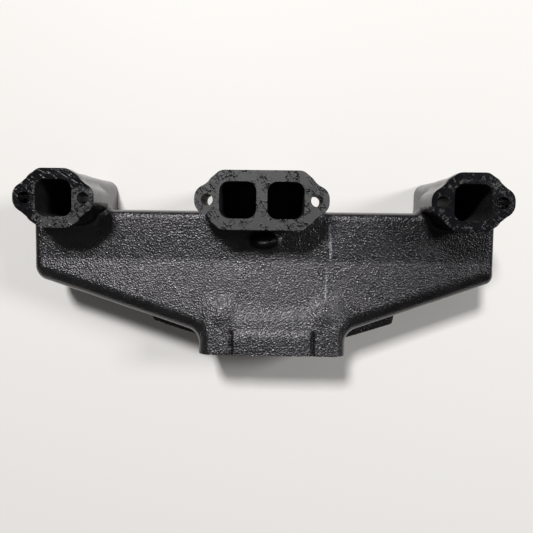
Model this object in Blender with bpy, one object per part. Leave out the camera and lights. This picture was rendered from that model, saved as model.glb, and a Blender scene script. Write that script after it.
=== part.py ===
"""Water-jacketed log exhaust manifold for one bank of a small V8, a single iron casting with its plugs.

Frame: origin on the gasket face, in the web between the two middle ports. +X runs along the engine,
+Z out of the gasket face, and -Y towards the outlet, so the part lies on its outboard wall.
"""
import math

import bmesh
import bpy
from mathutils import Matrix, Vector

MM = 0.001

# Ports and gasket flanges
PORT = 34.0 * MM
PORT_RADIUS = 9.0 * MM
MIDDLE_PORT_X = 22.0 * MM
OUTER_PORT_X = 191.5 * MM
FLANGE_HALF_HEIGHT = 27.2 * MM
FLANGE_PLATE = 13.0 * MM
EAR_TIP = 37.8 * MM
EAR_BOLT = 27.2 * MM
EAR_INSET = 2.0 * MM
MIDDLE_STRETCH = 24.0 * MM
MIDDLE_BOLT_X = 50.4 * MM
BOLT_HOLE = 11.1 * MM
RUNNER = 47.5 * MM
RUNNER_RADIUS = 12.0 * MM

# Body, measured from the gasket face back to the outboard wall
DEPTH = 130.0 * MM
NEAR_FACE = 48.0 * MM
PARTING = 80.0 * MM
BODY_LEFT = -231.0 * MM
BODY_RIGHT = 231.0 * MM
BODY_TOP = -11.1 * MM
BODY_CORNER_Y = -74.5 * MM
CREASE_Y = -58.5 * MM
RAMP = math.radians(7.0)
GALLERY_SLOPE = math.radians(18.6)
SLOPE_LEFT = math.radians(17.8)
SLOPE_RIGHT = math.radians(19.4)
FLARE = 9.0 * MM
BACK_FLARE = 3.6 * MM
END_DRAFT = 0.2
EDGE_RADIUS = 7.0 * MM
BACK_RADIUS = 8.0 * MM
CORNER_RADIUS = 9.0 * MM
NECK_FILLET = 11.0 * MM

# Outlet neck
NECK_X = 10.2 * MM
NECK_HALF = 73.2 * MM
COLUMN_PROUD = 1.2 * MM
OUTLET_Y = -152.0 * MM
COLUMN_WIDTH = 33.4 * MM
COLUMN_RADIUS = 8.0 * MM
COLUMN_NEAR = ((-152.0, 34.3), (-123.0, 37.6), (-115.0, 38.7), (-107.0, 40.6), (-99.0, 42.4), (-92.0, 43.9))
LIP_HEIGHT = 22.5 * MM
LIP_NEAR = 33.8 * MM
LIP_DEPTH = 12.0 * MM
LIP_GAP = 0.8 * MM
OUTLET_HALF = 32.0 * MM
OUTLET_NEAR = 61.0 * MM
OUTLET_FAR = 107.0 * MM
STUD_HOLE = 9.0 * MM
STUD_DEPTH = 28.0 * MM
STUD_NEAR = 49.0 * MM
STUD_FAR = 117.0 * MM

# Gas gallery and water jacket
WALL = 5.0 * MM
JACKET = 7.5 * MM
GALLERY_NEAR = 66.0 * MM
GALLERY_FAR = 112.0 * MM
JACKET_NEAR = 53.0 * MM
JACKET_FAR = 125.0 * MM
JACKET_BOTTOM = -112.0 * MM
ELBOW_STEP = 0.8 * MM
PASSAGES = (
    ("left", -OUTER_PORT_X, PORT / 2.0),
    ("middle", 0.0, MIDDLE_PORT_X + PORT / 2.0),
    ("right", OUTER_PORT_X, PORT / 2.0),
)

# Side pads, the small boss and the plugs
PAD_NEAR = 86.0 * MM
PAD_FAR = 118.0 * MM
BOSS_X = 1.0 * MM
BOSS_Y = -39.0 * MM
BOSS_HALF = 2.8 * MM
BOSS_STRETCH = 2.0
BOSS_TAPER = 0.2
BOSS_NEAR = 24.0 * MM
CLEARANCE = 0.3 * MM
END_PLUG_Y = -44.0 * MM
END_PLUG_Z = -89.0 * MM
END_PLUG_RADIUS = 13.2 * MM
CORE_PLUG_RADIUS = 13.2 * MM
CORE_PLUG_Y = -42.0 * MM
CORE_PLUG_X = (-118.0 * MM, NECK_X, 139.0 * MM)
PLUG_LENGTH = 12.0 * MM
DRAIN_RADIUS = 6.6 * MM
DRAIN_Y = -25.5 * MM
DRAIN_Z = -113.0 * MM


def clear_scene():
    """Start from an empty scene."""
    for item in list(bpy.data.objects):
        bpy.data.objects.remove(item, do_unlink=True)


def material(name, colour, roughness, metallic):
    """Return a Principled material."""
    made = bpy.data.materials.new(name)
    made.use_nodes = True
    shader = made.node_tree.nodes["Principled BSDF"]
    shader.inputs["Base Color"].default_value = (*colour, 1.0)
    shader.inputs["Roughness"].default_value = roughness
    shader.inputs["Metallic"].default_value = metallic
    return made


def add_object(name, mesh_data, surface=None, cutter=False):
    """Put a finished bmesh in the scene as one object."""
    bmesh.ops.recalc_face_normals(mesh_data, faces=mesh_data.faces)
    mesh = bpy.data.meshes.new(name)
    mesh_data.to_mesh(mesh)
    mesh_data.free()
    made = bpy.data.objects.new(name, mesh)
    bpy.context.scene.collection.objects.link(made)
    if surface:
        mesh.materials.append(surface)
    if cutter:
        made.hide_render = True
        made.display_type = "WIRE"
    return made


def rounded(corners, steps=5):
    """Round the corners of a closed outline; each corner is (x, y, radius)."""
    outline = []
    count = len(corners)
    for i, (x, y, radius) in enumerate(corners):
        here = Vector((x, y))
        before = Vector(corners[i - 1][:2]) - here
        after = Vector(corners[(i + 1) % count][:2]) - here
        if radius <= 0.0:
            outline.append(here)
            continue
        half = before.angle(after) / 2.0
        reach = radius / math.tan(half)
        start = here + before.normalized() * reach
        middle = here + (before.normalized() + after.normalized()).normalized() * (radius / math.sin(half))
        turn = math.pi - 2.0 * half
        arm = start - middle
        if before.cross(after) > 0.0:
            turn = -turn
        for k in range(steps + 1):
            angle = turn * k / steps
            outline.append(middle + Matrix.Rotation(angle, 2) @ arm)
    return outline


def rectangle(x0, x1, y0, y1, radius, steps=5):
    """Return a rounded rectangle as an outline."""
    return rounded([(x0, y0, radius), (x1, y0, radius), (x1, y1, radius), (x0, y1, radius)], steps)


def skin(rings):
    """Side faces over a stack of rings with equal numbers of points, and the rows of vertices."""
    made = bmesh.new()
    rows = [[made.verts.new(point) for point in ring] for ring in rings]
    count = len(rows[0])
    for low, high in zip(rows, rows[1:]):
        for i in range(count):
            j = (i + 1) % count
            made.faces.new((low[i], low[j], high[j], high[i]))
    return made, rows


def loft(name, rings, surface=None, cutter=False):
    """Skin a stack of rings and cap both ends."""
    made, rows = skin(rings)
    made.faces.new(rows[0])
    made.faces.new(rows[-1])
    return add_object(name, made, surface, cutter)


def prism_z(name, outline, near, far, cutter=True):
    """Extrude an XY outline from depth near to depth far behind the gasket face."""
    rings = [[Vector((p.x, p.y, -depth)) for p in outline] for depth in (near, far)]
    return loft(name, rings, cutter=cutter)


def prism_y(name, outline, low, high, cutter=True):
    """Extrude an outline in X and depth along Y."""
    rings = [[Vector((p.x, y, -p.y)) for p in outline] for y in (low, high)]
    return loft(name, rings, cutter=cutter)


def rod(name, start, end, radius, sides=24, cutter=True):
    """Make a round bar between two points."""
    start = Vector(start)
    end = Vector(end)
    turn = (end - start).to_track_quat("Z", "Y")
    rings = []
    for centre in (start, end):
        angles = [2.0 * math.pi * i / sides for i in range(sides)]
        rings.append([centre + turn @ Vector((math.cos(a), math.sin(a), 0.0)) * radius for a in angles])
    return loft(name, rings, cutter=cutter)


def combine(target, tool, operation):
    """Join a tool to the target or cut it away."""
    tool.hide_render = True
    tool.display_type = "WIRE"
    step = target.modifiers.new(tool.name, "BOOLEAN")
    step.operation = operation
    step.object = tool


def near_depth(y):
    """Depth of the body's near face: flat above the crease, then ramping out to the outlet."""
    return NEAR_FACE - max(0.0, CREASE_Y - y) * math.tan(RAMP)


def body_outline(inset, flare):
    """Outline of the body at one depth, drawn in by inset and flared out below by draft."""
    grow = flare - inset
    left = BODY_LEFT + inset - flare * END_DRAFT
    right = BODY_RIGHT - inset + flare * END_DRAFT
    top = BODY_TOP - inset
    flank_left = NECK_X - NECK_HALF + COLUMN_PROUD + inset
    flank_right = NECK_X + NECK_HALF - COLUMN_PROUD - inset

    def lower_edge(x):
        """Height of the sloped lower edge, left or right of the neck."""
        slope, run = (SLOPE_LEFT, x - BODY_LEFT) if x < NECK_X else (SLOPE_RIGHT, BODY_RIGHT - x)
        return BODY_CORNER_Y - grow / math.cos(slope) - run * math.tan(slope)

    outer = max(2.0 * MM, CORNER_RADIUS + grow)
    inner = NECK_FILLET - grow
    top_radius = max(1.5 * MM, 8.0 * MM - inset)
    return rounded([
        (left, top, top_radius),
        (left, CREASE_Y, 0.0),
        (left, lower_edge(left), outer),
        (flank_left, lower_edge(flank_left), inner),
        (flank_left, OUTLET_Y, 0.0),
        (flank_right, OUTLET_Y, 0.0),
        (flank_right, lower_edge(flank_right), inner),
        (right, lower_edge(right), outer),
        (right, CREASE_Y, 0.0),
        (right, top, top_radius),
    ])


def make_body():
    """The log body: a rounded near edge, walls flaring to the parting line, then drawn in again."""
    sections = []
    for degrees in (0, 30, 60, 90):
        angle = math.radians(degrees)
        inset, back = EDGE_RADIUS * (1 - math.sin(angle)), EDGE_RADIUS * (1 - math.cos(angle))
        sections.append((inset, 0.0, back, None))
    sections.append((0.0, FLARE, None, PARTING))
    for degrees in (0, 45, 90):
        angle = math.radians(degrees)
        depth = DEPTH - BACK_RADIUS * (1 - math.sin(angle))
        sections.append((BACK_RADIUS * (1 - math.cos(angle)), BACK_FLARE, None, depth))
    rings = []
    for inset, flare, back, depth in sections:
        ring = []
        for p in body_outline(inset, flare):
            ring.append(Vector((p.x, p.y, -(near_depth(p.y) + back if depth is None else depth))))
        rings.append(ring)
    made, rows = skin(rings)
    made.faces.new(rows[-1])
    crease = [i for i, point in enumerate(rings[0]) if abs(point.y - CREASE_Y) < 1e-6]
    made.faces.new(rows[0][crease[0]:crease[1] + 1])
    made.faces.new(rows[0][crease[1]:] + rows[0][:crease[0] + 1])
    return add_object("manifold_casting", made)


def flange_outline(centre_x, stretch, inset=0.0):
    """A gasket flange: a flat-topped plate with a rounded bolt ear at each end."""
    shoulder = 15.0 * MM + stretch - inset * 0.6
    waist = 24.0 * MM + stretch
    tip = EAR_TIP + stretch - inset
    high = FLANGE_HALF_HEIGHT - inset
    half = [
        (shoulder, high, 10.0 * MM),
        (waist, 15.8 * MM - inset, 6.0 * MM),
        (tip, 9.2 * MM - inset * 0.5, 12.0 * MM - inset),
    ]
    quarter_down = [(x, -y, r) for x, y, r in reversed(half)]
    right_side = half + quarter_down
    left_side = [(-x, -y, r) for x, y, r in right_side]
    return rounded([(centre_x + x, y, r) for x, y, r in right_side + left_side], 4)


def add_flanges(casting):
    """Join the flange plates, the ear columns behind them and the square runners."""
    for label, centre_x, stretch in (
        ("left", -OUTER_PORT_X, 0.0),
        ("middle", 0.0, MIDDLE_STRETCH),
        ("right", OUTER_PORT_X, 0.0),
    ):
        plate = prism_z("plate_" + label, flange_outline(centre_x, stretch), 0.0, FLANGE_PLATE)
        ears = prism_z("ears_" + label, flange_outline(centre_x, stretch, EAR_INSET),
                       6.0 * MM, NEAR_FACE + 1.5 * MM)
        wide = RUNNER / 2.0 + (MIDDLE_PORT_X if stretch else 0.0)
        square = rectangle(centre_x - wide, centre_x + wide, -RUNNER / 2.0, RUNNER / 2.0, RUNNER_RADIUS)
        runner = prism_z("runner_" + label, square, 3.0 * MM, DEPTH)
        for tool in (runner, ears, plate):
            combine(casting, tool, "UNION")


def make_column(name, centre_x):
    """A bolt column beside the outlet: a rounded bar along Y, its top rising gently out of the ramp."""
    half = COLUMN_WIDTH / 2.0
    rings = []
    for y, near in COLUMN_NEAR:
        outline = rectangle(centre_x - half, centre_x + half,
                            near * MM, near * MM + COLUMN_WIDTH, COLUMN_RADIUS, 4)
        rings.append([Vector((p.x, y * MM, -p.y)) for p in outline])
    return loft(name, rings, cutter=True)


def add_neck(casting):
    """Join the two bolt columns and the raised lip between them."""
    side = NECK_HALF - COLUMN_WIDTH / 2.0
    inner = side - COLUMN_WIDTH / 2.0 - LIP_GAP
    lip = rounded([
        (OUTLET_Y, LIP_NEAR, 0.0),
        (OUTLET_Y + LIP_HEIGHT, LIP_NEAR, 4.0 * MM),
        (OUTLET_Y + LIP_HEIGHT, LIP_NEAR + LIP_DEPTH, 0.0),
        (OUTLET_Y, LIP_NEAR + LIP_DEPTH, 0.0),
    ], 4)
    rings = [[Vector((x, p.x, -p.y)) for p in lip] for x in (NECK_X - inner, NECK_X + inner)]
    combine(casting, loft("neck_lip", rings, cutter=True), "UNION")
    for label, centre_x in (("left", NECK_X - side), ("right", NECK_X + side)):
        combine(casting, make_column("column_" + label, centre_x), "UNION")


def add_pads(casting):
    """Join the bracket pads under the sloped walls and the web that ties each to the neck."""
    for label, sign in (("left", -1.0), ("right", 1.0)):
        corners = [
            (sign * 133.0, -108.0, 0.0),
            (sign * 128.7, -127.6, 2.0),
            (sign * 104.5, -135.6, 2.0),
            (sign * 103.0, -134.6, 0.0),
            (sign * 72.4, -145.6, 0.0),
            (sign * 60.0, -118.0, 0.0),
        ]
        corners = [(NECK_X + x * MM, y * MM, r * MM) for x, y, r in corners]
        combine(casting, prism_z("pad_" + label, rounded(corners, 3), PAD_NEAR, PAD_FAR), "UNION")


def add_boss(casting):
    """Join the small tapered boss that stands under the middle flange."""
    rings = []
    sides = 24
    for depth, inset in ((BOSS_NEAR, 1.0 * MM), (BOSS_NEAR + 1.0 * MM, 0.0), (NEAR_FACE + 5.0 * MM, 0.0)):
        radius = BOSS_HALF - inset + BOSS_TAPER * (depth - BOSS_NEAR)
        ring = []
        for i in range(sides):
            angle = 2.0 * math.pi * i / sides
            ring.append(Vector((BOSS_X + BOSS_STRETCH * radius * math.cos(angle),
                                BOSS_Y + radius * math.sin(angle), -depth)))
        rings.append(ring)
    combine(casting, loft("boss", rings, cutter=True), "UNION")


def gallery_outline(inset):
    """The gas gallery's outline, or a wall's thickness outside it when inset is negative."""
    shell = WALL + JACKET + WALL + inset
    top = BODY_TOP - shell
    left = BODY_LEFT + shell
    right = BODY_RIGHT - shell
    drop = shell / math.cos(GALLERY_SLOPE)
    half = OUTLET_HALF - inset
    corner = max(3.0 * MM, 6.0 * MM - inset)

    def lower(distance):
        return BODY_CORNER_Y + drop - distance * math.tan(GALLERY_SLOPE)

    reach_left = NECK_X - half - BODY_LEFT
    reach_right = BODY_RIGHT - NECK_X - half
    return rounded([
        (left, top, corner),
        (left, lower(shell), corner),
        (NECK_X - half, lower(reach_left), 6.0 * MM),
        (NECK_X - half, JACKET_BOTTOM - 2.0 * MM, 0.0),
        (NECK_X + half, JACKET_BOTTOM - 2.0 * MM, 0.0),
        (NECK_X + half, lower(reach_right), 6.0 * MM),
        (right, lower(shell), corner),
        (right, top, corner),
    ], 3)


def cut_gas_passages(casting):
    """Cut the ports, the elbows behind them, the gallery and the outlet."""
    half = PORT / 2.0
    for number, x in enumerate((-OUTER_PORT_X, -MIDDLE_PORT_X, MIDDLE_PORT_X, OUTER_PORT_X), 1):
        bore = rectangle(x - half, x + half, -half, half, PORT_RADIUS, 4)
        combine(casting, prism_z(f"port_{number}", bore, -2.0 * MM, GALLERY_FAR - 10.0 * MM), "DIFFERENCE")
    for label, x, wide in PASSAGES:
        elbow = rectangle(x - wide + ELBOW_STEP, x + wide - ELBOW_STEP,
                          BODY_TOP - 34.0 * MM, half - ELBOW_STEP, 6.0 * MM, 3)
        tool = prism_z("elbow_" + label, elbow, GALLERY_NEAR + ELBOW_STEP, GALLERY_FAR - ELBOW_STEP)
        combine(casting, tool, "DIFFERENCE")
    combine(casting, prism_z("gallery", gallery_outline(0.0), GALLERY_NEAR, GALLERY_FAR), "DIFFERENCE")
    duct = rectangle(NECK_X - OUTLET_HALF, NECK_X + OUTLET_HALF, OUTLET_NEAR, OUTLET_FAR, 12.0 * MM, 5)
    combine(casting, prism_y("outlet", duct, OUTLET_Y - 2.0 * MM, BODY_TOP - 60.0 * MM), "DIFFERENCE")


def cut_water_jacket(casting):
    """Cut the jacket round the gallery, and the water passages that open on the outlet face."""
    run_left = (BODY_CORNER_Y - JACKET_BOTTOM) / math.tan(GALLERY_SLOPE)
    outline = rounded([
        (BODY_LEFT + WALL, BODY_TOP - WALL, 5.0 * MM),
        (BODY_LEFT + WALL, BODY_CORNER_Y + WALL * 0.7, 6.0 * MM),
        (BODY_LEFT + WALL + run_left, JACKET_BOTTOM + WALL * 0.7, 8.0 * MM),
        (BODY_RIGHT - WALL - run_left, JACKET_BOTTOM + WALL * 0.7, 8.0 * MM),
        (BODY_RIGHT - WALL, BODY_CORNER_Y + WALL * 0.7, 6.0 * MM),
        (BODY_RIGHT - WALL, BODY_TOP - WALL, 5.0 * MM),
    ], 3)
    jacket = prism_z("jacket", outline, JACKET_NEAR, JACKET_FAR)
    keep = prism_z("gallery_wall", gallery_outline(-WALL), GALLERY_NEAR - WALL, GALLERY_FAR + WALL)
    combine(jacket, keep, "DIFFERENCE")
    duct = rectangle(NECK_X - OUTLET_HALF - WALL, NECK_X + OUTLET_HALF + WALL,
                     OUTLET_NEAR - WALL + 0.5 * MM, OUTLET_FAR + WALL - 0.5 * MM, 12.0 * MM, 5)
    combine(jacket, prism_y("outlet_wall", duct, OUTLET_Y, BODY_TOP - 58.0 * MM), "DIFFERENCE")
    for label, x, wide in PASSAGES:
        reach = wide + WALL
        wall = rectangle(x - reach, x + reach, BODY_TOP - 39.0 * MM, PORT / 2.0 + WALL, 8.0 * MM, 3)
        tool = prism_z("elbow_wall_" + label, wall, NEAR_FACE, GALLERY_FAR + WALL + ELBOW_STEP)
        combine(jacket, tool, "DIFFERENCE")
    for label, x, sign in (("left", BODY_LEFT, 1.0), ("right", BODY_RIGHT, -1.0)):
        collar = rod("collar_" + label, (x - sign * 5.0 * MM, END_PLUG_Y, END_PLUG_Z),
                     (x + sign * 8.0 * MM, END_PLUG_Y, END_PLUG_Z), END_PLUG_RADIUS + 4.5 * MM)
        combine(jacket, collar, "DIFFERENCE")
    combine(casting, jacket, "DIFFERENCE")
    slots = (
        (NECK_X - 22.0 * MM, NECK_X + 22.0 * MM, OUTLET_NEAR - 11.0 * MM, OUTLET_NEAR - WALL),
        (NECK_X - 22.0 * MM, NECK_X + 22.0 * MM, OUTLET_FAR + 6.0 * MM, OUTLET_FAR + 14.0 * MM),
        (NECK_X - 46.0 * MM, NECK_X - 38.0 * MM, 66.0 * MM, 102.0 * MM),
        (NECK_X + 38.0 * MM, NECK_X + 46.0 * MM, 66.0 * MM, 102.0 * MM),
    )
    for number, (x0, x1, near, far) in enumerate(slots, 1):
        slot = rectangle(x0, x1, near, far, 2.5 * MM, 3)
        tool = prism_y(f"water_{number}", slot, OUTLET_Y - 2.0 * MM, JACKET_BOTTOM + 9.0 * MM)
        combine(casting, tool, "DIFFERENCE")


def cut_holes(casting):
    """Drill the flange bolt holes, the outlet stud holes and the holes for the plugs."""
    bolt_x = [-OUTER_PORT_X - EAR_BOLT, -OUTER_PORT_X + EAR_BOLT, -MIDDLE_BOLT_X,
              MIDDLE_BOLT_X, OUTER_PORT_X - EAR_BOLT, OUTER_PORT_X + EAR_BOLT]
    for number, x in enumerate(bolt_x, 1):
        hole = rod(f"bolt_hole_{number}", (x, 0.0, 2.0 * MM), (x, 0.0, -NEAR_FACE - 8.0 * MM),
                   BOLT_HOLE / 2.0)
        combine(casting, hole, "DIFFERENCE")
    side = NECK_HALF - COLUMN_WIDTH / 2.0
    studs = [(x, depth) for x in (NECK_X - side, NECK_X + side) for depth in (STUD_NEAR, STUD_FAR)]
    for number, (x, depth) in enumerate(studs):
        hole = rod(f"stud_hole_{number}", (x, OUTLET_Y - 2.0 * MM, -depth),
                   (x, OUTLET_Y + STUD_DEPTH, -depth), STUD_HOLE / 2.0, 16)
        combine(casting, hole, "DIFFERENCE")
    for label, x, sign in (("left", BODY_LEFT, 1.0), ("right", BODY_RIGHT, -1.0)):
        for kind, y, z, radius in (("end", END_PLUG_Y, END_PLUG_Z, END_PLUG_RADIUS),
                                   ("drain", DRAIN_Y, DRAIN_Z, DRAIN_RADIUS)):
            hole = rod(f"{kind}_hole_{label}", (x - sign * 8.0 * MM, y, z), (x + sign * 10.0 * MM, y, z),
                       radius + CLEARANCE)
            combine(casting, hole, "DIFFERENCE")
    for number, x in enumerate(CORE_PLUG_X, 1):
        hole = rod(f"core_hole_{number}", (x, CORE_PLUG_Y, -DEPTH - 2.0 * MM),
                   (x, CORE_PLUG_Y, -JACKET_FAR + 3.0 * MM), CORE_PLUG_RADIUS + CLEARANCE)
        combine(casting, hole, "DIFFERENCE")


def polygon_ring(sides, flats, z, count=24):
    """Return points evenly turned round a regular polygon of the given width across flats."""
    points = []
    for i in range(count):
        angle = 2.0 * math.pi * i / count
        step = 2.0 * math.pi / sides
        offset = (angle + step / 2.0) % step - step / 2.0
        radius = flats / 2.0 / math.cos(offset)
        points.append(Vector((radius * math.cos(angle), radius * math.sin(angle), z)))
    return points


def circle_ring(radius, z, count=24):
    """Return points round a circle."""
    angles = [2.0 * math.pi * i / count for i in range(count)]
    return [Vector((radius * math.cos(a), radius * math.sin(a), z)) for a in angles]


def make_socket_plug(name, location, axis, length, radius, surface):
    """A headless pipe plug with a hexagon socket, its outer end at the location facing along the axis."""
    rings = [
        circle_ring(radius - 1.0 * MM, -length),
        circle_ring(radius, -length + 1.0 * MM),
        circle_ring(radius, -0.8 * MM),
        circle_ring(radius - 0.8 * MM, 0.0),
        polygon_ring(6, 14.2 * MM, 0.0),
        polygon_ring(6, 14.2 * MM, -length * 0.6),
    ]
    made = loft(name, rings, surface)
    made.location = location
    made.rotation_euler = Vector(axis).to_track_quat("Z", "Y").to_euler()
    return made


def make_square_plug(name, location, axis, surface):
    """A small brass drain plug with a square head, its thread inside the wall."""
    rings = [
        circle_ring(DRAIN_RADIUS - 0.8 * MM, -9.0 * MM),
        circle_ring(DRAIN_RADIUS, -8.0 * MM),
        circle_ring(DRAIN_RADIUS, 1.5 * MM),
        circle_ring(DRAIN_RADIUS - 0.6 * MM, 2.2 * MM),
        polygon_ring(4, 7.4 * MM, 2.2 * MM),
        polygon_ring(4, 7.4 * MM, 8.2 * MM),
        polygon_ring(4, 6.2 * MM, 9.0 * MM),
    ]
    made = loft(name, rings, surface)
    made.location = location
    made.rotation_euler = Vector(axis).to_track_quat("Z", "Y").to_euler()
    return made


def main():
    """Build the casting and its plugs."""
    clear_scene()
    paint = material("black_paint_on_iron", (0.012, 0.012, 0.013), 0.42, 0.0)
    plug_paint = material("painted_steel_plug", (0.016, 0.016, 0.017), 0.35, 0.0)
    brass = material("brass", (0.55, 0.38, 0.14), 0.32, 1.0)

    casting = make_body()
    casting.data.materials.append(paint)
    add_neck(casting)
    add_pads(casting)
    add_flanges(casting)
    add_boss(casting)
    cut_gas_passages(casting)
    cut_water_jacket(casting)
    cut_holes(casting)

    for label, x, sign in (("left", BODY_LEFT, -1.0), ("right", BODY_RIGHT, 1.0)):
        make_socket_plug("end_plug_" + label, (x, END_PLUG_Y, END_PLUG_Z), (sign, 0, 0),
                         PLUG_LENGTH, END_PLUG_RADIUS, plug_paint)
        make_square_plug("drain_plug_" + label, (x, DRAIN_Y, DRAIN_Z), (sign, 0, 0), brass)
    for label, x in zip(("left", "middle", "right"), CORE_PLUG_X):
        make_socket_plug("core_plug_" + label, (x, CORE_PLUG_Y, -DEPTH + 0.5 * MM), (0, 0, -1),
                         4.0 * MM, CORE_PLUG_RADIUS, plug_paint)


main()
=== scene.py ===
"""Water-jacketed exhaust manifold for a small marine V8, lying on a pale studio floor.

The casting is a smooth field of signed distances, meshed once. Everything inside the field is in
millimetres, in the row's own frame: +X along the ports, +Z out of the gasket face, -Y to the outlet.
"""
import math

import bmesh
import bpy
import numpy as np
from mathutils import Matrix, Vector


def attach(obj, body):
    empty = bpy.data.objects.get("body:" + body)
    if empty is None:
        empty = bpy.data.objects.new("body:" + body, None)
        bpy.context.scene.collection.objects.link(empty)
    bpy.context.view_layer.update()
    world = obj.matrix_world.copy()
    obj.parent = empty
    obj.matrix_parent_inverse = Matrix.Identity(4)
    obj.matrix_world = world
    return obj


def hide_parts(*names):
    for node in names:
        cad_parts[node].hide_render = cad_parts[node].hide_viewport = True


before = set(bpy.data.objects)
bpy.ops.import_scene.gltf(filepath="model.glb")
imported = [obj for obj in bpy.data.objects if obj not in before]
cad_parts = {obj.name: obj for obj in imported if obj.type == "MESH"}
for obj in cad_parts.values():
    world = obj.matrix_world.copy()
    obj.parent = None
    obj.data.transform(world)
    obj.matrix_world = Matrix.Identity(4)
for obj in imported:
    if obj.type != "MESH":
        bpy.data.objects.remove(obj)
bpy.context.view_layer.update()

MM = 0.001
SEED = 7

# Sampling of the field
STEP = 1.62
TRIANGLES = 196000
MARGIN = 3.2

# Gasket flanges, ports and runners
OUTER_X = 191.5
MIDDLE_X = 22.0
PORT_HALF = 17.0
PORT_CORNER = 9.0
RIGHT_CORNER = 5.0
FLANGE_HALF = 27.2
PLATE_DEPTH = 13.0
EAR_INSET = 2.0
STRETCH = 24.0
RUNNER_HALF = 23.75
RUNNER_CORNER = 12.0
BOLT_X = (-218.7, -164.3, -50.4, 50.4, 164.3, 218.7)
BOLT_RADIUS = 5.55
BOLT_DEPTH = 56.0

# Body
DEPTH = 130.0
NEAR = 48.0
PARTING = 80.0
END_X = 231.0
TOP_Y = -10.0
CORNER_Y = -74.5
CREASE_Y = -58.5
CHAMFER_OUT = 1.5
CHAMFER_DEEP = 5.5
FACE_DRAFT = 0.008
DOME_RISE = 1.8
DOME_RADIUS = 18.0
DOME_OUT = 50.5
DOME_Y = -108.0
RAMP = math.tan(math.radians(7.3))
SLOPE_LEFT = math.radians(17.8)
SLOPE_RIGHT = math.radians(19.4)
FLARE = 9.0
BACK_FLARE = 3.6
BACK_START = 122.0
END_DRAFT = 0.2
TOP_DRAFT = 0.25
CORNER = 9.0
NECK_FILLET = 11.0
BOSS_X = 1.0
BOSS_Y = -39.0
BOSS_NEAR = 24.0
BOSS_HALF = 2.8
BOSS_STRETCH = 2.0
BOSS_TAPER = 0.2
BOSS_TILT = 0.25
PAD_CORNERS = ((133.0, -108.0), (128.7, -127.6), (104.5, -135.6), (72.4, -145.6), (55.0, -118.0))
PAD_LAYER = (-118.0, -86.0)

# Neck and outlet
NECK_X = 10.2
NECK_HALF = 73.2
COLUMN_HALF = 16.7
OUTLET_Y = -152.0
STUD_RADIUS = 4.5
STUD_DEPTH = 28.0
STUD_NEAR = 49.0
STUD_FAR = 117.0
DUCT_HALF = 32.0
DUCT_NEAR = 61.0
DUCT_FAR = 107.0

# Bends of the near face towards the outlet: place on Y, change of slope and softness of each
COLUMN_BENDS = ((-92.0, 0.09, 1.0), (-103.0, -0.03, 1.0), (-108.5, 0.075, 1.0),
                (-115.0, -0.08, 1.2), (-123.0, -0.055, 1.5))
LIP_BENDS = ((-102.0, 0.09, 1.0), (-108.0, 0.06, 1.0), (-117.0, -0.085, 1.0),
             (-122.0, -0.045, 0.8), (-126.5, 0.155, 0.8), (-133.5, -0.195, 0.9))
LIP_HALF = 34.0
LIP_BLEND = 10.0
GROOVE_OUT = 40.6
GROOVE_WIDTH = 1.5
GROOVE_DEPTH = 2.4
GROOVE_START = -127.5
SWELL_OUT = 63.0
SWELL_FADE = 12.0

# Gas gallery and its elbows
GALLERY_HALF = 212.0
GALLERY_Y = (-64.0, -29.0)
GALLERY_Z = (-112.0, -66.0)
GALLERY_ROUND = 8.0
ELBOW_LOW = -45.0

# Water slots round the outlet: place beside the neck's middle, depth, and half sizes
SLOTS = ((0.0, 53.0, 22.0, 3.0), (0.0, 117.0, 22.0, 4.0), (-42.0, 84.0, 4.0, 18.0), (42.0, 84.0, 4.0, 18.0))
SLOT_DEPTH = 42.0

# How far a hole, a passage or a flange plate runs on past the gasket or outlet face
BEYOND = 20.0

# Plugs
PLUG_RADIUS = 13.5
END_PLUG = (-44.0, -89.0)
DRAIN_RADIUS = 6.9
DRAIN = (-25.5, -113.0)
CORE_Y = -42.0
CORE_X = (-118.0, NECK_X, 139.0)
END_PLUG_DEPTH = 13.0
DRAIN_DEPTH = 11.0
CORE_PLUG_DEPTH = 5.0

# Studio, in metres, degrees and watts
CAMERA_PLACE = (0.0149, -0.0174, 0.5217)
CAMERA_LEAN = (1.083, 4.72)
CAMERA_ROLL = -0.722
CAMERA_LENS = 38.49
LIGHT_AIM = (0.0, -0.06, -0.1)
KEY_PLACE, KEY_SIZE, KEY_POWER = (-0.64, 1.91, 3.54), (0.56, 0.56), 146.0
SIDE_PLACE, SIDE_SIZE, SIDE_POWER = (2.38, 0.72, 2.32), (0.55, 0.9), 42.0
ROOM_STRENGTH = 0.10
FLOOR_HALF = 3.0


# ---------------------------------------------------------------- distance fields

def box2(u, v, half_u, half_v, radius):
    """Distance to a rounded rectangle round the origin of the u, v plane."""
    a = np.abs(u) - (half_u - radius)
    b = np.abs(v) - (half_v - radius)
    return np.hypot(np.maximum(a, 0.0), np.maximum(b, 0.0)) + np.minimum(np.maximum(a, b), 0.0) - radius


def meet(radius, *parts):
    """Intersection of several solids, with its outer edges rounded."""
    deepest = parts[0]
    for part in parts[1:]:
        deepest = np.maximum(deepest, part)
    total = 0.0
    for part in parts:
        total = total + np.maximum(part + radius, 0.0) ** 2
    return np.minimum(deepest, -radius) + np.sqrt(total)


def join(radius, a, b):
    """Union of two solids, with a fillet where they meet."""
    blend = np.hypot(np.maximum(radius - a, 0.0), np.maximum(radius - b, 0.0))
    return np.maximum(np.minimum(a, b), radius) - blend


def slab(value, low, high):
    """Distance to the layer between two values of one coordinate."""
    return np.abs(value - (low + high) / 2.0) - (high - low) / 2.0


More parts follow.
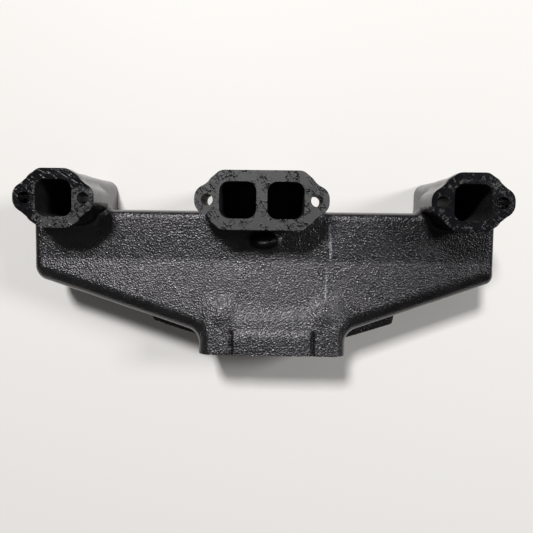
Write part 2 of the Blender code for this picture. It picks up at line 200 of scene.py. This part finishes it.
def fillet_corners(corners, steps=5):
    """Round the corners of an open chain; each corner is (x, y, radius)."""
    chain = [np.array(corners[0][:2])]
    for before, here, after in zip(corners, corners[1:], corners[2:]):
        p, a, b = (np.array(c[:2], float) for c in (here, before, after))
        ua, ub = (a - p) / np.linalg.norm(a - p), (b - p) / np.linalg.norm(b - p)
        half = math.acos(max(-1.0, min(1.0, float(ua @ ub)))) / 2.0
        reach = here[2] / math.tan(half)
        middle = p + (ua + ub) / np.linalg.norm(ua + ub) * here[2] / math.sin(half)
        start, end = p + ua * reach, p + ub * reach
        for k in range(steps + 1):
            arm = (start - middle) * (1 - k / steps) + (end - middle) * (k / steps)
            chain.append(middle + arm / np.linalg.norm(arm) * here[2])
    chain.append(np.array(corners[-1][:2]))
    return np.array(chain)


def flange_quarter(stretch, inset):
    """One quarter of a gasket flange's outline, from its top centre to its ear's tip."""
    return fillet_corners([
        (0.0, FLANGE_HALF - inset, 0.0),
        (15.0 + stretch - inset * 0.6, FLANGE_HALF - inset, 10.0),
        (24.0 + stretch, 15.8 - inset, 6.0),
        (37.8 + stretch - inset, 9.2 - inset * 0.5, 12.0 - inset),
        (37.8 + stretch - inset, 0.0, 0.0),
    ])


def flange2(x, y, stretch, inset):
    """Distance to a gasket flange's outline."""
    chain = flange_quarter(stretch, inset)
    u, v = np.abs(x), np.abs(y)
    best = np.full(np.broadcast(u, v).shape, 1e9, np.float32)
    for (x0, y0), (x1, y1) in zip(chain, chain[1:]):
        dx, dy = x1 - x0, y1 - y0
        t = np.clip(((u - x0) * dx + (v - y0) * dy) / (dx * dx + dy * dy), 0.0, 1.0)
        best = np.minimum(best, (u - x0 - t * dx) ** 2 + (v - y0 - t * dy) ** 2)
    widest = np.interp(v, chain[::-1, 1], chain[::-1, 0])
    inside = (u < widest) & (v < chain[0, 1])
    return np.where(inside, -np.sqrt(best), np.sqrt(best))


def bend(value, width):
    """Zero before the bend and rising by one per millimetre after it, softly."""
    return width * np.logaddexp(0.0, value / width)


def ease(value):
    """Smooth step from 0 to 1."""
    value = np.clip(value, 0.0, 1.0)
    return value * value * (3.0 - 2.0 * value)


def climb(y, bends):
    """Height gained after a row of bends."""
    total = 0.0
    for place, slope, softness in bends:
        total = total + slope * bend(place - y, softness)
    return total


def near_height(x, y):
    """Height of the near face: nearly flat, a ramp below the crease, two low domes, and the outlet's lip."""
    height = FACE_DRAFT * (TOP_Y - y) - NEAR + (RAMP - FACE_DRAFT) * bend(CREASE_Y - y, 0.6)
    column, lip = climb(y, COLUMN_BENDS), climb(y, LIP_BENDS)
    beside = np.abs(x - NECK_X)
    swell = lip + (column - lip) * ease((beside - LIP_HALF) / LIP_BLEND)
    swell = swell + DOME_RISE * ease(1.0 - np.hypot(beside - DOME_OUT, y - DOME_Y) / DOME_RADIUS)
    groove = GROOVE_DEPTH * np.exp(-((beside - GROOVE_OUT) / GROOVE_WIDTH) ** 2)
    groove = groove * ease((GROOVE_START - y) / 4.0)
    return height + swell * (1.0 - ease((beside - SWELL_OUT) / SWELL_FADE)) - groove


def outline_field(x, y, flare):
    """Outline of the log and neck, with the sloped walls flared out."""
    left = -END_X - x - flare * END_DRAFT
    right = x - END_X - flare * END_DRAFT
    low_left = (CORNER_Y - (x + END_X) * math.tan(SLOPE_LEFT) - y) * math.cos(SLOPE_LEFT) - flare
    low_right = (CORNER_Y - (END_X - x) * math.tan(SLOPE_RIGHT) - y) * math.cos(SLOPE_RIGHT) - flare
    top = y - TOP_Y - flare * TOP_DRAFT
    log = np.maximum(meet(CORNER, left, top, low_left), meet(RIGHT_CORNER, right, top, low_right))
    neck = np.maximum(np.abs(x - NECK_X) - NECK_HALF, y + 95.0)
    return join(NECK_FILLET, log, neck)


def body_field(x, y, z):
    """The log and its neck: a chamfered near edge, walls flaring to the parting line, then drawn in."""
    surface = near_height(x, y)
    start = surface - CHAMFER_DEEP
    out = np.clip((start - z) / (PARTING + start), 0.0, 1.0)
    back = np.clip((-z - PARTING) / (BACK_START - PARTING), 0.0, 1.0)
    flare = CHAMFER_OUT + (FLARE - CHAMFER_OUT) * out ** 0.75 - (FLARE - BACK_FLARE) * back
    lower = np.clip((-60.0 - y) / 12.0, 0.0, 1.0)
    flare = flare * (0.5 + 0.5 * lower)
    inset = 3.0 + 4.0 * lower
    outline = outline_field(x, y, flare)
    plain_outline = outline_field(x, y, 0.0)
    wide = inset + CHAMFER_OUT
    chamfer = ((plain_outline + inset) * CHAMFER_DEEP + (z - surface) * wide) / np.hypot(CHAMFER_DEEP, wide)
    return meet(3.0, outline, (z - surface) * 0.98, chamfer, -z - DEPTH)


def pad_field(x, y, z, side):
    """A bracket pad under one sloped wall, tied to the neck by a web."""
    u = side * (x - NECK_X)
    distance = None
    for (x0, y0), (x1, y1) in zip(PAD_CORNERS, PAD_CORNERS[1:] + PAD_CORNERS[:1]):
        length = math.hypot(x1 - x0, y1 - y0)
        edge = ((y1 - y0) * (u - x0) - (x1 - x0) * (y - y0)) / length
        distance = -edge if distance is None else np.maximum(distance, -edge)
    return meet(1.5, distance, slab(z, *PAD_LAYER))


def void_field(x, y, z):
    """The gas passages: four ports, the gallery behind them and the outlet duct."""
    bore = None
    for centre in (-OUTER_X, -MIDDLE_X, MIDDLE_X, OUTER_X):
        port = np.maximum(box2(x - centre, y, PORT_HALF, PORT_HALF, PORT_CORNER), slab(z, -110.0, BEYOND))
        bore = port if bore is None else np.minimum(bore, port)
    run = meet(GALLERY_ROUND, slab(x, -GALLERY_HALF, GALLERY_HALF), slab(y, *GALLERY_Y), slab(z, *GALLERY_Z))
    for centre, half in ((-OUTER_X, PORT_HALF), (0.0, MIDDLE_X + PORT_HALF), (OUTER_X, PORT_HALF)):
        elbow = meet(GALLERY_ROUND, slab(x, centre - half, centre + half), slab(y, ELBOW_LOW, PORT_HALF),
                     slab(z, *GALLERY_Z))
        run = np.minimum(run, elbow)
    bore = join(7.0, bore, run)
    duct = np.maximum(box2(x - NECK_X, z + (DUCT_NEAR + DUCT_FAR) / 2.0, DUCT_HALF,
                           (DUCT_FAR - DUCT_NEAR) / 2.0, 12.0), slab(y, OUTLET_Y - BEYOND, -50.0))
    return join(8.0, bore, duct)


def water_slots(x, y, z):
    """Water slots round the outlet, seen only at the outlet face."""
    slots = None
    for u, w, half_u, half_w in SLOTS:
        slot = box2(x - NECK_X - u, z + w, half_u, half_w, 2.5)
        slots = slot if slots is None else np.minimum(slots, slot)
    return np.maximum(slots, slab(y, OUTLET_Y - BEYOND, OUTLET_Y + SLOT_DEPTH))


def hole_field(x, y, z):
    """Every drilled hole: flange bolts, riser studs and the plugs' seats."""
    holes = None
    for centre in BOLT_X:
        hole = np.maximum(np.hypot(x - centre, y) - BOLT_RADIUS, slab(z, -BOLT_DEPTH, BEYOND))
        holes = hole if holes is None else np.minimum(holes, hole)
    side = NECK_HALF - COLUMN_HALF
    for centre in (NECK_X - side, NECK_X + side):
        for depth in (STUD_NEAR, STUD_FAR):
            hole = np.maximum(np.hypot(x - centre, z + depth) - STUD_RADIUS,
                              slab(y, OUTLET_Y - BEYOND, OUTLET_Y + STUD_DEPTH))
            holes = np.minimum(holes, hole)
    for (cy, cz), radius, deep in ((END_PLUG, PLUG_RADIUS, END_PLUG_DEPTH),
                                   (DRAIN, DRAIN_RADIUS, DRAIN_DEPTH)):
        holes = np.minimum(holes, np.maximum(np.hypot(y - cy, z - cz) - radius, END_X - deep - np.abs(x)))
    for centre in CORE_X:
        holes = np.minimum(holes, np.maximum(np.hypot(x - centre, y - CORE_Y) - PLUG_RADIUS,
                                             z + DEPTH - CORE_PLUG_DEPTH))
    return holes


def casting_field(x, y, z):
    """The whole casting, before its two machined faces are cut flat."""
    solid = body_field(x, y, z)
    for side in (-1.0, 1.0):
        solid = join(2.0, solid, pad_field(x, y, z, side))
    for centre, stretch in ((-OUTER_X, 0.0), (0.0, STRETCH), (OUTER_X, 0.0)):
        wide = RUNNER_HALF + (MIDDLE_X if stretch else 0.0)
        runner = np.maximum(box2(x - centre, y, wide, RUNNER_HALF, RUNNER_CORNER), slab(z, -DEPTH, -3.0))
        ears = np.maximum(flange2(x - centre, y, stretch, EAR_INSET), slab(z, -NEAR - 6.0, -6.0))
        plate = meet(1.2, flange2(x - centre, y, stretch, 0.0), slab(z, -PLATE_DEPTH, BEYOND))
        taper = 1.5 + 6.5 * np.clip((np.abs(x - centre) - 15.0 - stretch) / 8.0, 0.0, 1.0)
        solid = join(5.0, solid, runner)
        solid = join(taper, solid, join(1.6, ears, plate))
    thick = BOSS_HALF + BOSS_TAPER * (-z - BOSS_NEAR)
    boss = meet(2.0, np.hypot((x - BOSS_X) / BOSS_STRETCH, y - BOSS_Y) - thick,
                (z + BOSS_NEAR + BOSS_TILT * (y - BOSS_Y)) * 0.97, -z - NEAR - 6.0)
    solid = join(3.0, solid, boss)
    solid = np.maximum(solid, -z - DEPTH)
    for void in (void_field(x, y, z), water_slots(x, y, z), hole_field(x, y, z)):
        solid = np.maximum(solid, -void)
    return solid


# ---------------------------------------------------------------- meshing the field

def surface_net(values, origin, step):
    """Vertices and quads of the zero level of a regular grid of distances."""
    inside = values < 0.0
    low = tuple(n - 1 for n in values.shape)
    corners = [(i, j, k) for i in (0, 1) for j in (0, 1) for k in (0, 1)]
    count = np.zeros(low, np.int8)
    for i, j, k in corners:
        count += inside[i:i + low[0], j:j + low[1], k:k + low[2]]
    cells = np.argwhere((count > 0) & (count < 8))
    number = np.full(low, -1, np.int32)
    number[tuple(cells.T)] = np.arange(len(cells))
    at = [values[tuple((cells + c).T)] for c in corners]
    total = np.zeros((len(cells), 3))
    hits = np.zeros(len(cells))
    for a, ca in enumerate(corners):
        for b, cb in enumerate(corners):
            if b <= a or sum(abs(p - q) for p, q in zip(ca, cb)) != 1:
                continue
            crossed = (at[a] < 0) != (at[b] < 0)
            t = at[a][crossed] / (at[a][crossed] - at[b][crossed])
            total[crossed] += np.array(ca) + t[:, None] * (np.array(cb) - np.array(ca))
            hits[crossed] += 1
    vertices = origin + (cells + total / hits[:, None]) * step
    quads = []
    for axis in range(3):
        u, v = (axis + 1) % 3, (axis + 2) % 3
        first = [slice(1, -1)] * 3
        first[axis] = slice(0, -1)
        second = [slice(1, -1)] * 3
        second[axis] = slice(1, None)
        here, there = inside[tuple(first)], inside[tuple(second)]
        for flip in (False, True):
            edges = np.argwhere((here & ~there) if not flip else (~here & there))
            offset = np.array([0 if d == axis else 1 for d in range(3)])
            cell = edges + offset
            step_u, step_v = np.eye(3, dtype=int)[u], np.eye(3, dtype=int)[v]
            ring = [cell - step_u - step_v, cell - step_v, cell, cell - step_u]
            if flip:
                ring = ring[::-1]
            quads.append(np.stack([number[tuple(c.T)] for c in ring], 1))
    return vertices, np.concatenate(quads)


def gradient(points, here):
    """Direction in which the field grows at each point."""
    reach = 0.15
    slopes = []
    for axis in range(3):
        shift = np.zeros(3)
        shift[axis] = reach
        slopes.append(casting_field(*(points + shift).T) - here)
    return np.stack(slopes, 1) / reach


def settle(points, rounds=2):
    """Move points onto the zero level."""
    for _ in range(rounds):
        here = casting_field(*points.T)
        slope = gradient(points, here)
        size = np.maximum((slope ** 2).sum(1), 0.25)
        move = -(here / size)[:, None] * slope
        length = np.linalg.norm(move, axis=1, keepdims=True)
        points = points + move * np.minimum(1.0, 0.5 * STEP / np.maximum(length, 1e-9))
    return points


def value_noise(points, size, seed):
    """Smooth random values between -1 and 1, with lumps of the given size."""
    table = np.random.default_rng(seed).uniform(-1.0, 1.0, 8192)
    scaled = points / size
    cell = np.floor(scaled).astype(np.int64)
    part = scaled - cell
    part = part * part * (3.0 - 2.0 * part)
    result = np.zeros(len(points))
    for corner in ((i, j, k) for i in (0, 1) for j in (0, 1) for k in (0, 1)):
        key = (cell + corner) * (73856093, 19349663, 83492791)
        index = (key[:, 0] ^ key[:, 1] ^ key[:, 2]) & 8191
        weight = np.ones(len(points))
        for axis in range(3):
            weight *= part[:, axis] if corner[axis] else 1.0 - part[:, axis]
        result += weight * table[index]
    return result


def cast_surface(points):
    """Uneven surface of a sand casting: raises or sinks each point along its own normal, in mm."""
    rough = 0.16 * value_noise(points, 26.0, SEED) + 0.04 * value_noise(points, 9.0, SEED + 1)
    return rough + 0.015 * value_noise(points, 3.6, SEED + 2)


def sample_field():
    """Mesh the field, with every point on it and the sand-cast unevenness added."""
    low = np.array([-END_X - 4.0, OUTLET_Y, -DEPTH]) - MARGIN
    high = np.array([END_X + 4.0, FLANGE_HALF, 0.0]) + MARGIN
    axes = [np.arange(a, b + STEP, STEP, dtype=np.float32) for a, b in zip(low, high)]
    x, y, z = axes[0][:, None, None], axes[1][None, :, None], axes[2][None, None, :]
    values = np.array(casting_field(x, y, z))
    values[[0, -1]] = 1.0
    values[:, [0, -1]] = 1.0
    values[:, :, [0, -1]] = 1.0
    points, quads = surface_net(values, low, STEP)
    points = settle(points)
    here = casting_field(*points.T)
    slope = gradient(points, here)
    slope /= np.maximum(np.linalg.norm(slope, axis=1, keepdims=True), 1e-6)
    x, y, z = points.T
    drilled = np.abs(hole_field(x, y, z)) < 0.3
    resting = z < -DEPTH + 0.5
    calm = np.clip(np.minimum(-z - 0.5, y - OUTLET_Y - 0.5) / 2.0, 0.0, 1.0) * ~drilled * ~resting
    return points + slope * (cast_surface(points) * calm)[:, None], quads


def surface_kind(centres):
    """Which surface each face belongs to: painted casting, drilled hole or gas passage."""
    x, y, z = centres.T
    drilled = (np.abs(hole_field(x, y, z)) < 0.45) & (np.abs(x) < END_X - 14.0)
    gas = np.minimum(void_field(x, y, z), water_slots(x, y, z)) < 0.6
    return np.where(drilled, 2, np.where(gas, 3, 0)).astype(np.int32)


def cut_flat(body, point, normal):
    """Cut everything beyond a plane away and close the cut with a flat face."""
    everything = body.verts[:] + body.edges[:] + body.faces[:]
    cut = bmesh.ops.bisect_plane(body, geom=everything, dist=1e-7, plane_co=point, plane_no=normal,
                                 clear_outer=True)
    rim = [e for e in cut["geom_cut"] if isinstance(e, bmesh.types.BMEdge) and e.is_boundary]
    made = bmesh.ops.triangle_fill(body, edges=rim, use_beauty=True, use_dissolve=False, normal=normal)
    return [f for f in made["geom"] if isinstance(f, bmesh.types.BMFace)]


def make_casting(surfaces):
    """Build the casting as one closed mesh."""
    points, quads = sample_field()
    mesh = bpy.data.meshes.new("casting_body")
    mesh.from_pydata((points * MM).tolist(), [], quads.tolist())
    mesh.polygons.foreach_set("material_index", surface_kind(points[quads].mean(axis=1)))
    body = bmesh.new()
    body.from_mesh(mesh)
    for point, normal in (((0, 0, 0), (0, 0, 1)), ((0, OUTLET_Y * MM, 0), (0, -1, 0))):
        for face in cut_flat(body, point, normal):
            face.material_index = 1
    bmesh.ops.recalc_face_normals(body, faces=body.faces)
    body.to_mesh(mesh)
    body.free()
    for surface in surfaces:
        mesh.materials.append(surface)
    made = bpy.data.objects.new("casting_body", mesh)
    bpy.context.scene.collection.objects.link(made)
    triangles = sum(len(p.vertices) - 2 for p in mesh.polygons)
    if triangles > TRIANGLES:
        thin = made.modifiers.new("thin", "DECIMATE")
        thin.ratio = TRIANGLES / triangles
        evaluated = made.evaluated_get(bpy.context.evaluated_depsgraph_get())
        made.data = bpy.data.meshes.new_from_object(evaluated)
        made.modifiers.clear()
    mesh = made.data
    mesh.polygons.foreach_set("use_smooth", [True] * len(mesh.polygons))
    mesh.set_sharp_from_angle(angle=math.radians(40.0))
    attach(made, "root")
    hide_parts("manifold_casting")


# ---------------------------------------------------------------- materials

class Nodes:
    """Short calls for building a node material round its Principled shader."""

    def __init__(self, name):
        self.material = bpy.data.materials.new(name)
        self.material.use_nodes = True
        self.tree = self.material.node_tree
        self.shader = self.tree.nodes["Principled BSDF"]
        self.place = self.tree.nodes.new("ShaderNodeTexCoord").outputs["Object"]

    def link(self, source, target):
        self.tree.links.new(source, target)

    def node(self, kind, **inputs):
        made = self.tree.nodes.new(kind)
        for key, value in inputs.items():
            numbered = key[0] == "i" and key[1:].isdigit()
            socket = made.inputs[int(key[1:]) if numbered else key]
            if isinstance(value, bpy.types.NodeSocket):
                self.link(value, socket)
            else:
                socket.default_value = value
        return made

    def noise(self, scale, detail=3.0, roughness=0.55, place=None, distortion=0.0):
        return self.node("ShaderNodeTexNoise", Vector=place or self.place, Scale=scale, Detail=detail,
                         Roughness=roughness, Distortion=distortion).outputs["Fac"]

    def voronoi(self, scale):
        return self.node("ShaderNodeTexVoronoi", Vector=self.place, Scale=scale).outputs["Distance"]

    def stretch(self, x, y, z, turn=0.0):
        made = self.node("ShaderNodeMapping", Vector=self.place)
        made.vector_type = "TEXTURE"
        made.inputs["Scale"].default_value = (1.0 / x, 1.0 / y, 1.0 / z)
        made.inputs["Rotation"].default_value = (0.0, 0.0, turn)
        return made.outputs["Vector"]

    def math(self, operation, a, b=0.0, c=0.0):
        made = self.node("ShaderNodeMath", i0=a, i1=b, i2=c)
        made.operation = operation
        return made.outputs[0]

    def fade(self, value, low, high, start=0.0, end=1.0):
        """Smooth step of a value from low to high."""
        made = self.node("ShaderNodeMapRange", Value=value)
        made.interpolation_type = "SMOOTHSTEP"
        for key, number in zip(("From Min", "From Max", "To Min", "To Max"), (low, high, start, end)):
            made.inputs[key].default_value = number
        return made.outputs["Result"]

    def mix(self, factor, a, b):
        made = self.tree.nodes.new("ShaderNodeMix")
        made.data_type = "RGBA"
        for socket, value in ((made.inputs[0], factor), (made.inputs[6], a), (made.inputs[7], b)):
            if isinstance(value, bpy.types.NodeSocket):
                self.link(value, socket)
            elif isinstance(value, tuple):
                socket.default_value = (*value, 1.0)
            else:
                socket.default_value = value
        return made.outputs[2]

    def bump(self, height, distance, before=None):
        made = self.node("ShaderNodeBump", Height=height)
        made.inputs["Distance"].default_value = distance
        made.inputs["Strength"].default_value = 1.0
        if before:
            self.link(before, made.inputs["Normal"])
        return made.outputs["Normal"]

    def finish(self, colour, roughness, normal):
        self.link(colour, self.shader.inputs["Base Color"])
        self.link(roughness, self.shader.inputs["Roughness"])
        self.link(normal, self.shader.inputs["Normal"])
        return self.material


def paint_material():
    """Semi-gloss black paint over coarse sand-cast iron."""
    n = Nodes("black_paint_on_casting")
    axes = n.node("ShaderNodeSeparateXYZ", Vector=n.place).outputs
    surface = n.node("ShaderNodeNewGeometry")
    facing = n.node("ShaderNodeSeparateXYZ", Vector=surface.outputs["Normal"]).outputs
    rough_face = n.fade(n.math("ABSOLUTE", facing["Z"]), 0.45, 0.85, 0.20, 1.0)
    grain = n.noise(740.0, 1.0, 0.55)
    pits = n.voronoi(600.0)
    lumps = n.noise(110.0, 2.0, 0.5)
    height = n.math("ADD", grain, n.math("MULTIPLY", pits, 0.9))
    normal = n.bump(lumps, 0.00010)
    normal = n.bump(n.math("MULTIPLY", height, rough_face), 0.00037, normal)
    tone = n.noise(45.0, 3.0, 0.6)
    colour = n.mix(n.fade(tone, 0.35, 0.7), (0.003, 0.003, 0.0033), (0.006, 0.006, 0.0066))
    streak = scuff_mask(n, axes)
    colour = n.mix(streak, colour, (0.30, 0.32, 0.36))
    gloss = n.fade(n.noise(90.0, 3.0, 0.6), 0.3, 0.75, 0.12, 0.19)
    roughness = n.math("MULTIPLY_ADD", rough_face, 0.15, gloss)
    n.shader.inputs["Specular Tint"].default_value = (0.99, 0.95, 1.0, 1.0)
    # Painted shade: the paint's specular level falls from 0.71 to 0.32 towards the right-hand end, so that
    # end reflects less light.
    n.link(n.fade(axes["X"], 0.03, 0.20, 0.71, 0.32), n.shader.inputs["Specular IOR Level"])
    return n.finish(colour, roughness, normal)


def line_mask(n, axes, start, end, half_width):
    """Mask of a straight scratch on the near face, between two points in millimetres."""
    (x0, y0), (x1, y1) = start, end
    length = math.hypot(x1 - x0, y1 - y0)
    ux, uy = (x1 - x0) / length, (y1 - y0) / length
    dx = n.math("SUBTRACT", axes["X"], x0 * MM)
    dy = n.math("SUBTRACT", axes["Y"], y0 * MM)
    along = n.math("ADD", n.math("MULTIPLY", dx, ux), n.math("MULTIPLY", dy, uy))
    across = n.math("ABSOLUTE", n.math("SUBTRACT", n.math("MULTIPLY", dx, uy), n.math("MULTIPLY", dy, ux)))
    beside = n.fade(across, half_width * MM * 0.4, half_width * MM, 1.0, 0.0)
    inside = n.math("MULTIPLY", n.fade(along, -1.5 * MM, 1.5 * MM),
                    n.fade(along, (length - 1.5) * MM, (length + 1.5) * MM, 1.0, 0.0))
    return n.math("MULTIPLY", beside, inside)


def scuff_mask(n, axes):
    """A pale scuff down the near face: a wide streak, then a thin line to the right-hand dome."""
    wide = n.math("MULTIPLY", line_mask(n, axes, (66.5, -22.0), (68.5, -55.0), 1.9), 0.75)
    thin = n.math("MULTIPLY", line_mask(n, axes, (64.3, -66.0), (63.4, -97.0), 1.1), 0.55)
    near = n.fade(axes["Z"], -0.054, -0.050)
    broken = n.fade(n.noise(500.0, 3.0, 0.6), 0.36, 0.56)
    return n.math("MULTIPLY", n.math("MULTIPLY", n.math("MAXIMUM", wide, thin), near), broken)


def strokes(n, scale, turn, width, place=0.5):
    """Thin dark crinkles: contour lines of a noise stretched along one direction."""
    wave = n.noise(scale, 1.0, 0.5, n.stretch(1.6, 0.3, 1.0, turn), 0.3)
    return n.fade(n.math("ABSOLUTE", n.math("SUBTRACT", wave, place)), width * 0.35, width, 1.0, 0.0)


def gasket_material():
    """Gasket face scraped back to dark iron, with black paint left in crinkles and over the left flange; the
    right-hand flange is mostly given the same near-black colour, darker all over.
    """
    n = Nodes("scraped_gasket_face")
    axes = n.node("ShaderNodeSeparateXYZ", Vector=n.place).outputs
    speck = n.noise(800.0, 2.0, 0.6)
    patch = n.noise(75.0, 3.0, 0.6)
    base = n.mix(n.fade(n.math("MULTIPLY_ADD", speck, 0.5, n.math("MULTIPLY", patch, 0.5)), 0.38, 0.62),
                 (0.010, 0.010, 0.011), (0.036, 0.036, 0.038))
    # The right-hand flange is mostly covered in the near-black film colour, which makes that whole flange
    # darker.
    right_side = n.fade(axes["X"], 0.13, 0.15)
    left_side = n.fade(axes["X"], -0.15, -0.13, 1.0, 0.0)
    upper = n.math("MAXIMUM", n.fade(axes["Y"], 0.004, 0.018), n.fade(axes["X"], -0.218, -0.204, 1.0, 0.0))
    cover = n.math("ADD", n.math("MULTIPLY", right_side, 0.27),
                   n.math("MULTIPLY", left_side, n.math("MULTIPLY_ADD", upper, 0.36, 0.06)))
    lines = n.math("MAXIMUM", strokes(n, 200.0, 0.6, 0.034), strokes(n, 190.0, 2.2, 0.030, 0.46))
    lines = n.math("MAXIMUM", lines, strokes(n, 230.0, 1.35, 0.030, 0.55))
    lines = n.math("MULTIPLY", lines, n.fade(n.math("ADD", patch, cover), 0.44, 0.54))
    film = n.fade(n.math("ADD", n.noise(150.0, 4.0, 0.7, None, 1.0), cover), 0.66, 0.72)
    left_over = n.math("MAXIMUM", lines, film)
    colour = n.mix(left_over, base, (0.004, 0.004, 0.005))
    worn = n.fade(n.noise(140.0, 3.0, 0.6), 0.3, 0.7, 0.46, 0.56)
    roughness = n.math("SUBTRACT", worn, n.math("MULTIPLY", left_over, 0.33))
    level = n.math("MULTIPLY_ADD", left_over, -0.52, 0.80)
    n.link(level, n.shader.inputs["Specular IOR Level"])
    crease = n.noise(330.0, 2.0, 0.5, n.stretch(1.0, 0.3, 1.0, 1.0), 1.0)
    creased = n.math("MULTIPLY", crease, left_over)
    wrinkles = n.math("MULTIPLY", creased, n.fade(axes["X"], -0.15, -0.13, 1.3, 0.5))
    normal = n.bump(n.math("ADD", wrinkles, n.math("MULTIPLY", speck, 0.4)), 0.0004)
    return n.finish(colour, roughness, normal)


def bare_material():
    """Drilled wall of bare iron, lightly rusted."""
    n = Nodes("drilled_iron")
    axes = n.node("ShaderNodeSeparateXYZ", Vector=n.place).outputs
    colour = n.mix(n.fade(n.noise(400.0, 3.0, 0.6), 0.35, 0.65), (0.13, 0.11, 0.085), (0.06, 0.04, 0.025))
    outer = n.fade(n.math("ABSOLUTE", axes["X"]), 0.10, 0.12, 0.0, 0.85)
    colour = n.mix(outer, colour, (0.010, 0.009, 0.009))
    turned = n.noise(300.0, 2.0, 0.5, n.stretch(0.2, 0.2, 4.0))
    return n.finish(colour, n.fade(turned, 0.3, 0.7, 0.40, 0.62), n.bump(turned, 0.0002))


def soot_material():
    """Rough unpainted wall of the gas passages."""
    n = Nodes("sooty_passage")
    colour = n.mix(n.fade(n.noise(160.0, 3.0, 0.6), 0.35, 0.65), (0.007, 0.007, 0.009), (0.015, 0.014, 0.014))
    roughness = n.fade(n.noise(200.0, 3.0, 0.6), 0.3, 0.7, 0.55, 0.8)
    return n.finish(colour, roughness, n.bump(n.noise(420.0), 0.0006))


def steel_material():
    """Steel plug under thin black paint, rubbed bare in patches."""
    n = Nodes("painted_steel_plug")
    rub = n.fade(n.noise(260.0, 3.0, 0.6), 0.58, 0.68, 0.0, 0.7)
    colour = n.mix(rub, (0.006, 0.006, 0.007), (0.10, 0.095, 0.09))
    turned = n.noise(500.0, 2.0, 0.5)
    return n.finish(colour, n.fade(n.noise(150.0, 3.0, 0.6), 0.3, 0.7, 0.30, 0.46), n.bump(turned, 0.00015))


def brass_material():
    """Small drain plug of dull brass, darkened in patches."""
    n = Nodes("dull_brass_plug")
    stain = n.fade(n.noise(300.0, 3.0, 0.6), 0.40, 0.66)
    colour = n.mix(stain, (0.46, 0.31, 0.12), (0.14, 0.085, 0.035))
    n.shader.inputs["Metallic"].default_value = 0.9
    roughness = n.fade(n.noise(420.0, 2.0, 0.5), 0.3, 0.7, 0.28, 0.50)
    return n.finish(colour, roughness, n.bump(n.noise(800.0), 0.0001))


# ---------------------------------------------------------------- stage

def plain(name, colour, roughness):
    made = bpy.data.materials.new(name)
    made.use_nodes = True
    shader = made.node_tree.nodes["Principled BSDF"]
    shader.inputs["Base Color"].default_value = (*colour, 1.0)
    shader.inputs["Roughness"].default_value = roughness
    return made


def set_camera():
    """Camera above the part, looking almost straight down."""
    lean_x, lean_y = (math.tan(math.radians(angle)) for angle in CAMERA_LEAN)
    forward = Vector((-lean_x, -lean_y, -1.0)).normalized()
    right = forward.cross(Vector((0.0, 1.0, 0.0))).normalized()
    up = right.cross(forward)
    roll = Matrix.Rotation(math.radians(CAMERA_ROLL), 3, forward)
    right, up = roll @ right, roll @ up
    data = bpy.data.cameras.new("camera")
    data.sensor_width = 36.0
    data.lens = CAMERA_LENS
    data.clip_start = 0.01
    data.clip_end = 20.0
    camera = bpy.data.objects.new("camera", data)
    bpy.context.scene.collection.objects.link(camera)
    turn = Matrix((right, up, -forward)).transposed().to_4x4()
    camera.matrix_world = Matrix.Translation(CAMERA_PLACE) @ turn
    bpy.context.scene.camera = camera


def area_light(name, place, size, power):
    """A softbox that faces the part."""
    data = bpy.data.lights.new(name, "AREA")
    data.shape = "RECTANGLE"
    data.size, data.size_y = size
    data.energy = power
    light = bpy.data.objects.new(name, data)
    bpy.context.scene.collection.objects.link(light)
    turn = (Vector(LIGHT_AIM) - Vector(place)).to_track_quat("-Z", "Y").to_matrix().to_4x4()
    light.matrix_world = Matrix.Translation(place) @ turn


def set_stage():
    """A pale floor, two softboxes and a dim room."""
    mesh = bpy.data.meshes.new("floor")
    signs = ((-1, -1), (1, -1), (1, 1), (-1, 1))
    corners = [(u * FLOOR_HALF, v * FLOOR_HALF, -DEPTH * MM) for u, v in signs]
    mesh.from_pydata(corners, [], [(0, 1, 2, 3)])
    floor = bpy.data.objects.new("floor", mesh)
    bpy.context.scene.collection.objects.link(floor)
    mesh.materials.append(plain("floor_paper", (0.84, 0.82, 0.79), 0.6))
    world = bpy.data.worlds.new("room")
    world.use_nodes = True
    background = world.node_tree.nodes["Background"]
    background.inputs["Color"].default_value = (1.0, 0.99, 0.97, 1.0)
    background.inputs["Strength"].default_value = ROOM_STRENGTH
    bpy.context.scene.world = world
    area_light("key", KEY_PLACE, KEY_SIZE, KEY_POWER)
    area_light("side", SIDE_PLACE, SIDE_SIZE, SIDE_POWER)
    bpy.context.scene.view_settings.view_transform = "Standard"


paint = paint_material()
gasket = gasket_material()
bare = bare_material()
soot = soot_material()
steel = steel_material()
brass = brass_material()
set_camera()
set_stage()
make_casting((paint, gasket, bare, soot))
for name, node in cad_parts.items():
    if name != "manifold_casting":
        node.material_slots[0].material = brass if name.startswith("drain") else steel
